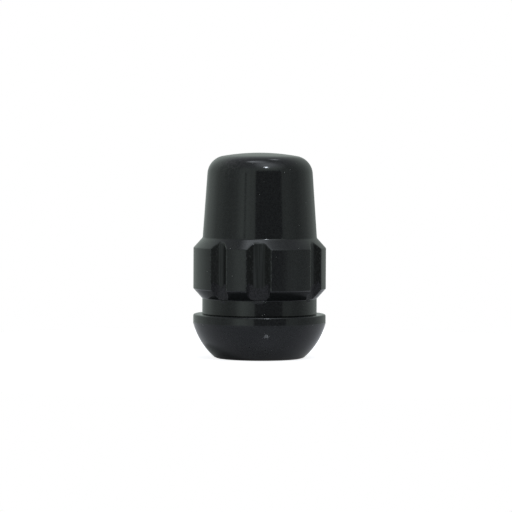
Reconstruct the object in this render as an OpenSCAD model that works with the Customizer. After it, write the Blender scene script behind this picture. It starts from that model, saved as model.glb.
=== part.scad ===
// Closed-end locking lug nut, turned and broached from one piece of steel.
// It stands on its seat end: +Z runs up the thread axis and the origin is the
// centre of the flat base. The index groove of the key pattern faces -Y.
// All sizes are in millimetres and degrees.

/* [Ball seat] */
// Radius of the ball that the seat is a zone of
seat_ball_radius = 12; // [11.8:0.1:14]
// Height of the ball's centre above the base
seat_ball_height = 9.2; // [8:0.1:10]
// Diameter of the upright rim above the seat
rim_diameter = 23.2; // [22.4:0.1:23.6]
// Height of the flange's top face above the base
flange_height = 7.7; // [7:0.1:9]
// Radius on the upper edge of the rim
rim_round = 0.5; // [0.2:0.05:0.8]
// How far in the flat goes that breaks the edge between the base and the seat
base_break = 0.25; // [0.1:0.05:0.5]

/* [Collar] */
// Diameter of the collar between the flange and the drive band
collar_diameter = 20.05; // [19:0.05:21]
// Length of the collar from the flange to the band's lower chamfer
collar_length = 2.75; // [2:0.05:5]

/* [Drive band] */
// Diameter over the lands
band_diameter = 23.2; // [22.6:0.1:24]
// Length of the lands between the two chamfers
land_length = 7.1; // [6:0.1:10]
// Angle of both chamfers from the axis
chamfer_angle = 42; // [35:1:55]
// Radius on the edges between the lands and the chamfers
land_round = 0.3; // [0.1:0.05:0.6]

/* [Key grooves] */
// Depth of the grooves below the lands
groove_depth = 1; // [0.8:0.05:1.2]
// Width of the floor of the index groove
index_floor_width = 1.9; // [1.4:0.05:2.4]
// Width of the floor of the other grooves
key_floor_width = 1.05; // [0.8:0.05:1.6]
// Angle of the groove flanks from the radius through the groove
flank_angle = 54; // [40:1:58]
// Radius between the groove floor and its flanks
floor_round = 0.3; // [0.1:0.05:0.5]
// How far down the flanks the flat goes that breaks their edges with the lands
edge_break = 0.25; // [0.1:0.05:0.5]
// Height of the torn run-out at the lower end of each groove
runout_height = 3.3; // [2.5:0.1:4.5]
// Height of the tongue, the lower part of a run-out, in which it narrows
tongue_height = 0.85; // [0.5:0.05:1.3]
// How much each side of the tongue comes in on its way down to the collar
tongue_narrowing = 0.75; // [0.3:0.05:0.9]

/* [Cap] */
// Diameter of the cap where it meets the band's upper chamfer
cap_diameter = 20; // [19:0.1:21]
// Height of the cap from the upper chamfer to the top of the crown
cap_height = 14.85; // [12:0.05:20]
// Taper of the cap's side, each side
cap_taper = 4; // [1:0.5:7]
// Radius of the domed crown
crown_radius = 37; // [30:1:80]
// Radius of the shoulder between the crown and the cap's side
shoulder_radius = 3.3; // [2:0.1:4.5]

/* [Thread] */
// Outer diameter of the thread
thread_diameter = 12; // [10:0.5:12.5]
// Pitch of the thread
thread_pitch = 1.5; // [1:0.25:1.75]
// How far the countersink at the mouth reaches past the thread, on the radius
mouth_flare = 0.5; // [0.2:0.05:0.8]
// Angle across the countersink
mouth_angle = 90; // [60:1:120]
// Angle across the drill's point at the blind end
drill_point_angle = 118; // [90:1:140]
// Solid metal left between the drill's point and the top of the crown
crown_thickness = 5.8; // [4:0.1:8]

/* [Hidden] */
$fn = 128;

// Fillets in the inner corners of the turned profile
neck_fillet = 0.25;
// How far outside the collar the torn run-outs end
runout_step = 0.06;
// How far cutting tools reach past the metal
overshoot = 1;
// How far the flats that break edges are carried on, enough to leave the metal
break_length = 3;
// Straight steps in each small round, in the shoulder and in the crown
round_steps = 6;
shoulder_steps = 18;
crown_steps = 12;
// Directions of the grooves, counted from the index groove, which is the first
key_pattern = [0, 59, 120, 160, 220, 260, 322.5];
// Direction of the index groove
index_direction = -90;

rim_radius = rim_diameter / 2;
collar_radius = collar_diameter / 2;
band_radius = band_diameter / 2;
cap_radius = cap_diameter / 2;
// The hole is drilled one pitch smaller than the thread that is tapped in it
tap_drill_radius = (thread_diameter - thread_pitch) / 2;
mouth_radius = thread_diameter / 2 + mouth_flare;

collar_top = flange_height + collar_length;
land_bottom = collar_top + (band_radius - collar_radius) / tan(chamfer_angle);
land_top = land_bottom + land_length;
cap_bottom = land_top + (band_radius - cap_radius) / tan(chamfer_angle);
nut_height = cap_bottom + cap_height;

mouth_depth = (mouth_radius - tap_drill_radius) / tan(mouth_angle / 2);
drill_point_height = tap_drill_radius / tan(drill_point_angle / 2);
drill_depth = nut_height - crown_thickness - drill_point_height;

groove_floor = band_radius - groove_depth;

function unit(v) = v / norm(v);

// Points on the arc about c from a to b, the short way round, leaving a itself out
function arc_after(c, a, b, steps) =
    let (u = a - c, turn = atan2(cross(u, b - c), u * (b - c)))
    [
        for (i = [1 : steps]) let (t = turn * i / steps)
            c + [u.x * cos(t) - u.y * sin(t), u.x * sin(t) + u.y * cos(t)]
    ];

// Points that stand in an outline for a corner rounded by an arc
function rounded_corner(corner, before, after, radius) =
    let (
        u = unit(before - corner), v = unit(after - corner), half = acos(u * v) / 2,
        c = corner + unit(u + v) * radius / sin(half), a = corner + u * radius / tan(half)
    )
    concat([a], arc_after(c, a, corner + v * radius / tan(half), round_steps));

// Points of a closed outline, each corner rounded by its own radius, or left sharp
// where that is 0
function rounded_outline(corners, radii) =
    let (count = len(corners))
    [
        for (i = [0 : count - 1]) each radii[i] == 0
            ? [corners[i]]
            : rounded_corner(corners[i], corners[(i + count - 1) % count], corners[(i + 1) % count], radii[i])
    ];

// Half section of the flange: a zone of a ball below an upright rim
module flange_profile() {
    base_edge = [sqrt(seat_ball_radius ^ 2 - seat_ball_height ^ 2), 0];
    // The flat that breaks the base's edge leans half as much as the seat does there
    break_angle = atan2(base_edge.x, seat_ball_height) / 2;
    break_foot = base_edge - [base_break, 0];
    past_break = break_foot + [cos(break_angle), sin(break_angle)] * break_length;
    intersection() {
        translate([0, seat_ball_height]) circle(seat_ball_radius);
        polygon(rounded_outline(
            [
                [0, 0], break_foot, past_break,
                [rim_radius, past_break.y], [rim_radius, flange_height], [0, flange_height]
            ],
            [0, 0, 0, 0, rim_round, 0]
        ));
    }
}

// Half section of all that stands on the flange: collar, drive band and cap
module stem_profile() {
    side_out = [cos(cap_taper), sin(cap_taper)];
    side_up = [-sin(cap_taper), cos(cap_taper)];
    side_foot = [cap_radius, cap_bottom];
    crown_c = [0, nut_height - crown_radius];
    // The shoulder's centre lies its radius inside the side and inside the crown
    inside_foot = side_foot - side_out * shoulder_radius;
    from_crown = inside_foot - crown_c;
    along = -from_crown * side_up
        + sqrt((from_crown * side_up) ^ 2 - from_crown * from_crown + (crown_radius - shoulder_radius) ^ 2);
    shoulder_c = inside_foot + side_up * along;
    side_end = shoulder_c + side_out * shoulder_radius;
    crown_edge = shoulder_c + unit(shoulder_c - crown_c) * shoulder_radius;
    // The collar's foot takes in a little of the flange, which its fillet runs into
    skirt_radius = collar_radius + 2 * neck_fillet;
    corners = [
        [0, flange_height - overshoot], [skirt_radius, flange_height - overshoot],
        [skirt_radius, flange_height], [collar_radius, flange_height], [collar_radius, collar_top],
        [band_radius, land_bottom], [band_radius, land_top], side_foot, side_end
    ];
    radii = [0, 0, 0, neck_fillet, 0, land_round, land_round, neck_fillet, 0];
    polygon(concat(
        rounded_outline(corners, radii),
        arc_after(shoulder_c, side_end, crown_edge, shoulder_steps),
        arc_after(crown_c, crown_edge, [0, nut_height], crown_steps)
    ));
}

// Half section of the drilled hole with its countersink and drill point
module hole_profile() {
    polygon([
        [0, -overshoot], [mouth_radius + overshoot * tan(mouth_angle / 2), -overshoot],
        [tap_drill_radius, mouth_depth], [tap_drill_radius, drill_depth],
        [0, drill_depth + drill_point_height]
    ]);
}

// How far along a flank, from the groove floor's corner, the flank meets the lands
function flank_reach(floor_width) =
    let (corner = [groove_floor, floor_width / 2], flank = [cos(flank_angle), sin(flank_angle)])
    -corner * flank + sqrt((corner * flank) ^ 2 - corner * corner + band_radius ^ 2);

// Section across one key groove, with its radius along +X
module groove_profile(floor_width) {
    flank = [cos(flank_angle), sin(flank_angle)];
    corner = [groove_floor, floor_width / 2];
    mouth = corner + flank * flank_reach(floor_width);
    // The edge is broken by a flat that halves the turn from the flank to the land
    break_angle = (flank_angle + 90 + atan2(mouth.y, mouth.x)) / 2;
    break_foot = mouth - flank * edge_break;
    break_end = break_foot + [cos(break_angle), sin(break_angle)] * break_length;
    polygon(rounded_outline(
        [
            [corner.x, -corner.y], [break_foot.x, -break_foot.y], [break_end.x, -break_end.y],
            break_end, break_foot, corner
        ],
        [floor_round, 0, 0, 0, 0, floor_round]
    ));
}

// The run-out where the chip tore away, with its radius along +X: it leans in
// until it all but meets the collar, and ends there in a tongue
module runout(half_mouth) {
    top = collar_top + runout_height;
    bottom = collar_top - overshoot;
    foot = collar_radius + runout_step;
    outside = band_radius + overshoot;
    half_foot = half_mouth - tongue_narrowing;
    tongue_top = collar_top + tongue_height;
    intersection() {
        rotate([90, 0, 0]) linear_extrude(2 * (half_mouth + overshoot), center = true) polygon([
            [foot, bottom], [foot, collar_top], [groove_floor, top - groove_depth],
            [outside, top + overshoot], [outside, bottom]
        ]);
        rotate([90, 0, 90]) linear_extrude(outside + overshoot) polygon([
            [-half_foot, bottom - overshoot], [half_foot, bottom - overshoot], [half_foot, collar_top],
            [half_mouth, tongue_top], [half_mouth, top + 2 * overshoot],
            [-half_mouth, top + 2 * overshoot], [-half_mouth, tongue_top], [-half_foot, collar_top]
        ]);
    }
}

// The broached groove with the run-out at its lower end
module key_groove(floor_width) {
    translate([0, 0, collar_top])
        linear_extrude(cap_bottom - collar_top + overshoot) groove_profile(floor_width);
    runout(floor_width / 2 + flank_reach(floor_width) * sin(flank_angle));
}

module lug_nut() {
    color([0.03, 0.03, 0.035])
    difference() {
        rotate_extrude() {
            flange_profile();
            stem_profile();
        }
        rotate_extrude() hole_profile();
        for (turn = key_pattern) rotate(index_direction + turn)
            key_groove(turn == 0 ? index_floor_width : key_floor_width);
    }
}

lug_nut();
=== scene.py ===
"""Looks of the locking lug nut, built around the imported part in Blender.

The nut is one piece. Its turned blank is a stack of rings about the thread axis, each ring at
one point of the half section. A Geometry Nodes tree then cuts the key grooves and the thread by
moving the points of those rings, and marks each kind of surface for the coating to read.
Sizes are in millimetres and degrees, and become metres where a mesh or a lamp is made.
"""

import logging
import math
from dataclasses import dataclass, field
from enum import Enum
from typing import Any, Sequence, Union

import bpy
from mathutils import Matrix, Vector

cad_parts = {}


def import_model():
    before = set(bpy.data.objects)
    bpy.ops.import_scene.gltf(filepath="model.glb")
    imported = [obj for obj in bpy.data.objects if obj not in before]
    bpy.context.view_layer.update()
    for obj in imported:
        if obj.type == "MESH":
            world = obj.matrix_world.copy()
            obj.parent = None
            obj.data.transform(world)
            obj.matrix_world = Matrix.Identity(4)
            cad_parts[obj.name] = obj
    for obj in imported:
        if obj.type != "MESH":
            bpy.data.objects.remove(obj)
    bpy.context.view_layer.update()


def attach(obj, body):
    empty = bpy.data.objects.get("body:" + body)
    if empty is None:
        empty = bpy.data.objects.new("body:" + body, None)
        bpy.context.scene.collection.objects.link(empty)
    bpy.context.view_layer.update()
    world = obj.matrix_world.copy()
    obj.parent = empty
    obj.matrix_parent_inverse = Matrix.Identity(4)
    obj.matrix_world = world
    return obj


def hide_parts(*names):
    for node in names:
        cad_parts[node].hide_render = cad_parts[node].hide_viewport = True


MILLIMETRE = 0.001
TO_MILLIMETRES = (1 / MILLIMETRE, 1 / MILLIMETRE, 1 / MILLIMETRE)
FULL_TURN = 2 * math.pi
RIGHT_ANGLE = 90.0
HALF = 0.5
WHITE = (1.0, 1.0, 1.0)
BLACK = (0.0, 0.0, 0.0)
OPAQUE = 1.0
# The angle, in radians, at which a column counts as far from any groove
FAR_ACROSS = math.pi / 4
NUT_NODE = "lug_nut"
NUT_BODY = "root"

log = logging.getLogger("lug_nut")

Point = tuple[float, float]
Colour = tuple[float, float, float]
Number = Union["Field", float]


class Surface(Enum):
    """Kinds of surface that the tree marks on the points, each in an attribute of that name."""

    SATIN = "satin"
    UNDERCUT = "undercut"
    EDGE = "edge"
    FLOOR = "floor"
    FLANK = "flank"
    TORN = "torn"
    TAPPED = "tapped"


class Zone(Enum):
    """Parts of the blank that the tree cuts in different ways."""

    OUTSIDE = 0.0
    HOLE = 1.0


def between(start: float, end: float, share: float) -> float:
    """The number that lies a share of the way from start to end."""
    return start + (end - start) * share


def polar(centre: Point, radius: float, angle: float) -> Point:
    """The point at a radius and an angle, in radians, about a centre."""
    return centre[0] + radius * math.cos(angle), centre[1] + radius * math.sin(angle)


class SectionLine:
    """A half section that is drawn point by point, each point being (reach, rise)."""

    ROUND_STEPS = 6

    def __init__(self, start: Point) -> None:
        """Puts the pen down at the section's first point."""
        self.points: list[Point] = [start]

    def straight(self, end: Point, spacing: float) -> None:
        """Draws a straight stretch.

        Args:
            end: where the stretch ends.
            spacing: the largest distance between its points.
        """
        start = self.points[-1]
        steps = max(1, math.ceil(math.dist(start, end) / spacing))
        for step in range(1, steps + 1):
            share = step / steps
            self.points.append((between(start[0], end[0], share), between(start[1], end[1], share)))

    def bend(self, centre: Point, end: Point, steps: int) -> None:
        """Draws an arc, the short way round.

        Args:
            centre: the arc's centre.
            end: where the arc ends.
            steps: how many steps it has.
        """
        start = self.points[-1]
        radius = math.dist(centre, start)
        first = math.atan2(start[1] - centre[1], start[0] - centre[0])
        last = math.atan2(end[1] - centre[1], end[0] - centre[0])
        turn = math.remainder(last - first, FULL_TURN)
        for step in range(1, steps + 1):
            self.points.append(polar(centre, radius, first + turn * step / steps))

    def corner(self, corner: Point, beyond: Point, radius: float, spacing: float) -> None:
        """Draws a straight stretch towards a corner, and then the arc that rounds the corner.

        Args:
            corner: the corner, as it would be if it were sharp.
            beyond: the point that the section heads for after the corner.
            radius: the radius of the arc.
            spacing: the largest distance between the points of the straight stretch.
        """
        tip, back, ahead = self._arms(corner, beyond)
        half = back.angle(ahead) / 2
        centre = tip + (back + ahead).normalized() * radius / math.sin(half)
        self.straight(tuple(tip + back * radius / math.tan(half)), spacing)
        self.bend(tuple(centre), tuple(tip + ahead * radius / math.tan(half)), self.ROUND_STEPS)

    def relief(self, corner: Point, beyond: Point, radius: float, spacing: float) -> None:
        """Draws a straight stretch towards an inner corner, and then a relief groove round the corner.

        Args:
            corner: the corner, as it would be if it were sharp.
            beyond: the point that the section heads for after the corner.
            radius: the radius of the groove, whose centre is the corner.
            spacing: the largest distance between the points of the straight stretch.
        """
        tip, back, ahead = self._arms(corner, beyond)
        self.straight(tuple(tip + back * radius), spacing)
        for end in (-(back + ahead).normalized(), ahead):
            self.bend(corner, tuple(tip + end * radius), self.ROUND_STEPS)

    def _arms(self, corner: Point, beyond: Point) -> tuple[Vector, Vector, Vector]:
        """The corner, and the directions from it back to the pen and ahead to the point beyond."""
        tip = Vector(corner)
        back = (Vector(self.points[-1]) - tip).normalized()
        return tip, back, (Vector(beyond) - tip).normalized()


@dataclass(frozen=True)
class Field:
    """A number in a node tree, which can be reckoned with like a plain number."""

    tree: bpy.types.NodeTree
    socket: bpy.types.NodeSocket

    def _math(self, operation: str, *values: Number) -> "Field":
        """Adds a Math node.

        Args:
            operation: the node's operation.
            values: what goes into it, in order.

        Returns:
            The node's result.
        """
        node = self.tree.nodes.new("ShaderNodeMath")
        node.operation = operation
        for place, value in zip(node.inputs, values):
            feed(self.tree, place, value)
        return Field(self.tree, node.outputs[0])

    def __add__(self, other: Number) -> "Field":
        """The sum."""
        return self._math("ADD", self, other)

    __radd__ = __add__

    def __sub__(self, other: Number) -> "Field":
        """The difference."""
        return self._math("SUBTRACT", self, other)

    def __rsub__(self, other: Number) -> "Field":
        """The difference, from a plain number."""
        return self._math("SUBTRACT", other, self)

    def __mul__(self, other: Number) -> "Field":
        """The product."""
        return self._math("MULTIPLY", self, other)

    def __truediv__(self, other: Number) -> "Field":
        """The quotient."""
        return self._math("DIVIDE", self, other)

    def __abs__(self) -> "Field":
        """The number without its sign."""
        return self._math("ABSOLUTE", self)

    def sine(self) -> "Field":
        """The sine of an angle in radians."""
        return self._math("SINE", self)

    def cosine(self) -> "Field":
        """The cosine of an angle in radians."""
        return self._math("COSINE", self)

    def arc_sine(self) -> "Field":
        """The angle, in radians, that has this sine."""
        return self._math("ARCSINE", self)

    def angle_from(self, other: Number) -> "Field":
        """The angle, in radians, whose tangent is this number over the other."""
        return self._math("ARCTAN2", self, other)

    def fraction(self) -> "Field":
        """What is left above the next whole number below."""
        return self._math("FRACT", self)

    def least(self, other: Number) -> "Field":
        """The smaller of the two."""
        return self._math("MINIMUM", self, other)

    def most(self, other: Number) -> "Field":
        """The larger of the two."""
        return self._math("MAXIMUM", self, other)

    def over(self, limit: Number) -> "Field":
        """1 where the number is over the limit, and 0 elsewhere."""
        return self._math("GREATER_THAN", self, limit)

    def soft_least(self, other: Number, blend: Number) -> "Field":
        """The smaller of the two, rounded off where they are closer than blend."""
        return self._math("SMOOTH_MIN", self, other, blend)

    def soft_most(self, other: Number, blend: Number) -> "Field":
        """The larger of the two, rounded off where they are closer than blend."""
        return self._math("SMOOTH_MAX", self, other, blend)

    def ramp(self, start: Number, end: Number) -> "Field":
        """A soft step from 0 to 1.

        Args:
            start: where the step is still 0.
            end: where it has become 1.

        Returns:
            The step's height at this number.
        """
        node = self.tree.nodes.new("ShaderNodeMapRange")
        node.interpolation_type = "SMOOTHSTEP"
        for name, value in (("Value", self), ("From Min", start), ("From Max", end)):
            feed(self.tree, node.inputs[name], value)
        return Field(self.tree, node.outputs[0])

    def mix(self, low: Number, high: Number) -> Number:
        """The number that lies this share of the way from low to high."""
        return self * (high - low) + low


def feed(tree: bpy.types.NodeTree, place: bpy.types.NodeSocket, value: Any) -> None:
    """Gives a node's input its value.

    Args:
        tree: the tree that the node is in.
        place: the input.
        value: a field or a socket to link, or a plain number, colour or vector to set.
    """
    source = value.socket if isinstance(value, Field) else value
    if isinstance(source, bpy.types.NodeSocket):
        tree.links.new(source, place)
    elif place.type == "RGBA":
        place.default_value = (*source, OPAQUE)
    else:
        place.default_value = source


class NodeBoard:
    """A node tree, with the few moves that the trees here are made by."""

    def __init__(self, tree: bpy.types.NodeTree) -> None:
        """Clears a tree and takes it over."""
        self.tree = tree
        tree.nodes.clear()

    def node(self, kind: str, inputs: dict[str, Any], **settings: Any) -> bpy.types.Node:
        """Adds a node.

        Args:
            kind: the node's type.
            inputs: values or sockets for its inputs, by name.
            settings: the node's own options.

        Returns:
            The node.
        """
        node = self.tree.nodes.new(kind)
        for name, value in settings.items():
            setattr(node, name, value)
        for name, value in inputs.items():
            feed(self.tree, node.inputs[name], value)
        return node

    def number(self, node: bpy.types.Node, output: Union[str, int] = 0) -> Field:
        """One of a node's outputs as a number to reckon with."""
        return Field(self.tree, node.outputs[output])

    def mark(self, surface: Surface) -> Field:
        """How much of a kind of surface a point is, for a material to read."""
        return self.number(self.node("ShaderNodeAttribute", {}, attribute_name=surface.value), "Fac")

    def vector(self, x: Number, y: Number, z: Number) -> bpy.types.NodeSocket:
        """Three numbers as a vector."""
        return self.node("ShaderNodeCombineXYZ", {"X": x, "Y": y, "Z": z}).outputs[0]

    def stretched(self, place: bpy.types.NodeSocket, scale: Sequence[float]) -> bpy.types.NodeSocket:
        """A place with each of its coordinates multiplied."""
        return self._vector_math("MULTIPLY", place, scale).outputs["Vector"]

    def distance(self, place: bpy.types.NodeSocket, centre: Sequence[float]) -> Field:
        """How far a place is from a centre."""
        return self.number(self._vector_math("DISTANCE", place, centre), "Value")

    def _vector_math(self, operation: str, *places: Any) -> bpy.types.Node:
        """Adds a Vector Math node, with its places in order."""
        node = self.node("ShaderNodeVectorMath", {}, operation=operation)
        for socket, place in zip(node.inputs, places):
            feed(self.tree, socket, place)
        return node

    def noise(
        self, place: bpy.types.NodeSocket, grain: float, seed: Number, detail: float = 2.0
    ) -> Field:
        """Cloudy noise from 0 to 1.

        Args:
            place: where the noise is read.
            grain: the size of its coarsest grains, in the place's own unit.
            seed: a fixed number that picks one noise among many.
            detail: how many finer noises are laid on the coarse one.

        Returns:
            The noise.
        """
        inputs = {"Vector": place, "W": seed, "Scale": 1 / grain, "Detail": detail}
        return self.number(self.node("ShaderNodeTexNoise", inputs, noise_dimensions="4D"))

    def blend(self, share: Number, low: Any, high: Any) -> bpy.types.NodeSocket:
        """Mixes two colours.

        Args:
            share: how much of the second colour there is.
            low: the first colour, or a socket that gives it.
            high: the second colour, or a socket that gives it.

        Returns:
            The mixed colour.
        """
        node = self.node("ShaderNodeMix", {}, data_type="RGBA")
        places = [socket for socket in node.inputs if socket.type == "RGBA"]
        feed(self.tree, node.inputs[0], share)
        for place, colour in zip(places, (low, high)):
            feed(self.tree, place, colour)
        return next(socket for socket in node.outputs if socket.type == "RGBA")

    def join(
        self, kind: str, first: bpy.types.Node, second: bpy.types.Node, share: Any = None
    ) -> bpy.types.Node:
        """Adds or mixes two shaders.

        Args:
            kind: the type of the node that does so.
            first: the first shader's node.
            second: the second shader's node.
            share: how much of the second there is, where they are mixed.

        Returns:
            The node.
        """
        node = self.node(kind, {} if share is None else {"Fac": share})
        for place, shader in zip(node.inputs[-2:], (first, second)):
            feed(self.tree, place, shader.outputs[0])
        return node


@dataclass(frozen=True)
class Column:
    """One upright line of points on the blank.

    Its angle is turn. across is its angle from the middle of the nearest key groove, whose floor
    and mouth have the half widths that follow. Angles are in radians.
    """

    turn: float
    across: float = FAR_ACROSS
    half_floor: float = 1.0
    half_mouth: float = 1.0


class RingStack:
    """Closed rings of points about the axis, each joined to the next by faces."""

    COLUMN_VALUES = ("turn", "across", "half_floor", "half_mouth")
    VALUES = COLUMN_VALUES + ("reach", "rise", "zone")

    def __init__(self) -> None:
        """Starts with no ring."""
        self.values: dict[str, list[float]] = {name: [] for name in self.VALUES}
        self.faces: list[tuple[int, ...]] = []
        self.ring: list[int] = []

    def _point(self, place: Point, column: Column, zone: Zone) -> int:
        """Adds a point, and gives its number."""
        for name in self.COLUMN_VALUES:
            self.values[name].append(getattr(column, name))
        self.values["reach"].append(place[0])
        self.values["rise"].append(place[1])
        self.values["zone"].append(zone.value)
        return len(self.values["rise"]) - 1

    def add(self, place: Point, columns: Sequence[Column], zone: Zone) -> None:
        """Adds a ring, or a single point on the axis, and joins it to the ring before.

        Args:
            place: the ring's reach and rise.
            columns: the columns that have a point on it: only one for a point on the axis.
            zone: the part of the blank that it belongs to.
        """
        before = self.ring
        self.ring = [self._point(place, column, zone) for column in columns]
        if len(before) == len(self.ring):
            for i, low in enumerate(before):
                ahead = (i + 1) % len(before)
                self.faces.append((low, before[ahead], self.ring[ahead], self.ring[i]))
        elif before:
            self._zip(before, self.ring)

    def _zip(self, low: list[int], high: list[int]) -> None:
        """Joins two rings of unlike counts by triangles, going round both at the same pace.

        Args:
            low: the points of the earlier ring.
            high: the points of the later ring.
        """
        turns = self.values["turn"]
        i = 0
        j = 0
        while i < len(low) or j < len(high):
            low_turn = turns[low[i + 1]] if i + 1 < len(low) else math.inf
            high_turn = turns[high[j + 1]] if j + 1 < len(high) else math.inf
            a = low[i % len(low)]
            b = high[j % len(high)]
            step_low = i < len(low) and (j >= len(high) or low_turn <= high_turn)
            if step_low and len(low) > 1:
                self.faces.append((a, low[(i + 1) % len(low)], b))
            elif not step_low and len(high) > 1:
                self.faces.append((a, high[(j + 1) % len(high)], b))
            i += step_low
            j += not step_low

    def mesh(self, name: str) -> bpy.types.Mesh:
        """Makes a mesh of the rings, with each value that a point has as an attribute.

        Args:
            name: the mesh's name.

        Returns:
            The mesh, in metres.
        """
        places = [
            Vector((reach * math.cos(turn), reach * math.sin(turn), rise)) * MILLIMETRE
            for turn, reach, rise in zip(self.values["turn"], self.values["reach"], self.values["rise"])
        ]
        mesh = bpy.data.meshes.new(name)
        mesh.from_pydata(places, [], self.faces)
        for value_name, values in self.values.items():
            mesh.attributes.new(value_name, "FLOAT", "POINT").data.foreach_set("value", values)
        return mesh


@dataclass(frozen=True)
class KeyGrooves:
    """The key grooves of the drive band, with the torn run-out at the lower end of each."""

    band_radius: float = 11.6
    depth: float = 1.0
    index_floor_width: float = 1.9
    key_floor_width: float = 1.05
    flank_angle: float = 54.0
    floor_round: float = 0.35
    edge_round: float = 0.3
    index_direction: float = -90.0
    pattern: tuple[float, ...] = (0.0, 59.0, 120.0, 160.0, 220.0, 260.0, 322.5)
    runout_height: float = 3.3
    runout_step: float = 0.06
    runout_round: float = 0.25
    tongue_height: float = 0.75
    tongue_narrowing: float = 0.6
    fang_rise: float = 0.28
    lip_drop: float = 0.45
    lip_height: float = 0.06
    wall_lean: float = 0.35
    crevice_inset: float = 0.16
    crevice_width: float = 0.12
    crevice_depth: float = 0.2
    crevice_bottom: float = 1.1
    crevice_top: float = 2.9
    crevice_fade: float = 0.4
    tear_depth: float = 0.16
    tear_grain: float = 0.45
    tear_detail: float = 4.0
    tear_wander: float = 0.25
    wander_grain: float = 1.2
    tear_round: float = 0.04
    seed: float = 4.0
    column_spacing: float = 0.085
    land_spacing: float = 0.6
    mark_width: float = 0.03
    least_flank_turn: float = 0.03

    @property
    def floor_reach(self) -> float:
        """Distance of the groove floors from the axis."""
        return self.band_radius - self.depth

    @property
    def flank_slope(self) -> float:
        """How far a flank goes out for each millimetre sideways."""
        return 1 / math.tan(math.radians(self.flank_angle))

    def half_floor(self, direction: float) -> float:
        """Half the width of the floor of the groove in one direction of the pattern."""
        return (self.key_floor_width if direction else self.index_floor_width) / 2

    def half_mouth(self, direction: float) -> float:
        """Half the width of a groove where its flanks meet the lands.

        Args:
            direction: the groove's direction in the pattern.

        Returns:
            The half width, square to the groove's own radius.
        """
        lean = math.radians(self.flank_angle)
        flank = Vector((math.cos(lean), math.sin(lean)))
        corner = Vector((self.floor_reach, self.half_floor(direction)))
        along = corner.dot(flank)
        length = math.sqrt(along ** 2 - corner.length_squared + self.band_radius ** 2) - along
        return corner.y + length * flank.y

    def columns(self) -> list[Column]:
        """Lays out the columns of the keyed band: close together in the grooves, wide on the lands.

        Returns:
            The columns, in order of their turn.
        """
        spots = []
        for direction in self.pattern:
            middle = math.radians(self.index_direction + direction)
            spots.append((middle, self.half_floor(direction), self.half_mouth(direction)))
        spots.append((spots[0][0] + FULL_TURN, *spots[0][1:]))
        columns = []
        for this, following in zip(spots, spots[1:]):
            offsets = self._offsets(this[2])
            next_offsets = self._offsets(following[2])
            columns += [Column(this[0] + x, x, *this[1:]) for x in offsets]
            end = this[0] + offsets[-1]
            gap = following[0] - next_offsets[-1] - end
            steps = math.ceil(gap * self.band_radius / self.land_spacing)
            for i in range(1, steps):
                turn = end + gap * i / steps
                near = this if turn - this[0] < following[0] - turn else following
                columns.append(Column(turn, turn - near[0], *near[1:]))
            columns += [Column(following[0] - x, -x, *following[1:]) for x in reversed(next_offsets[1:])]
        return columns

    def _offsets(self, half_mouth: float) -> list[float]:
        """Angles of the columns on one side of a groove's middle.

        Args:
            half_mouth: half the groove's width at its mouth.

        Returns:
            The angles in radians, from 0 up to a little past the run-out's wall.
        """
        wall = math.asin(half_mouth / self.band_radius)
        lean = self.wall_lean / self.band_radius
        past = wall + self.edge_round / self.band_radius
        fine = self.column_spacing / self.band_radius
        offsets = [0.0]
        for end in (wall - lean - self.crevice_width / self.band_radius, wall - lean, wall, past):
            start = offsets[-1]
            steps = math.ceil((end - start) / fine)
            offsets += [start + (end - start) * i / steps for i in range(1, steps + 1)]
        return offsets


@dataclass(frozen=True)
class TappedHole:
    """The blind hole with its countersink, drill point and right-hand thread."""

    point_top: float
    thread_diameter: float = 12.0
    pitch: float = 1.5
    mouth_flare: float = 0.5
    mouth_angle: float = 90.0
    drill_point_angle: float = 118.0
    flank_share: float = 0.29
    crest_share: float = 0.14
    runout_pitches: float = 2.0
    rows_per_pitch: int = 16
    column_count: int = 96
    point_spacing: float = 1.6

    @property
    def drill_radius(self) -> float:
        """Radius of the tap drill, one pitch smaller across than the thread."""
        return (self.thread_diameter - self.pitch) / 2

    @property
    def mouth_radius(self) -> float:
        """Radius of the countersink at the base."""
        return self.thread_diameter / 2 + self.mouth_flare

    @property
    def depth(self) -> float:
        """Depth of the hole to where the drill's point begins."""
        return self.point_top - self.drill_radius / math.tan(math.radians(self.drill_point_angle / 2))

    def section(self) -> list[Point]:
        """Points of the hole's half section, from the tip of the drill's point down to the mouth."""
        line = SectionLine((0.0, self.point_top))
        line.straight((self.drill_radius, self.depth), self.point_spacing)
        line.straight((self.drill_radius, 0.0), self.pitch / self.rows_per_pitch)
        slope = math.tan(math.radians(self.mouth_angle / 2))
        return [
            (max(reach, self.mouth_radius - rise * slope) if reach >= self.drill_radius else reach, rise)
            for reach, rise in line.points
        ]


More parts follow.
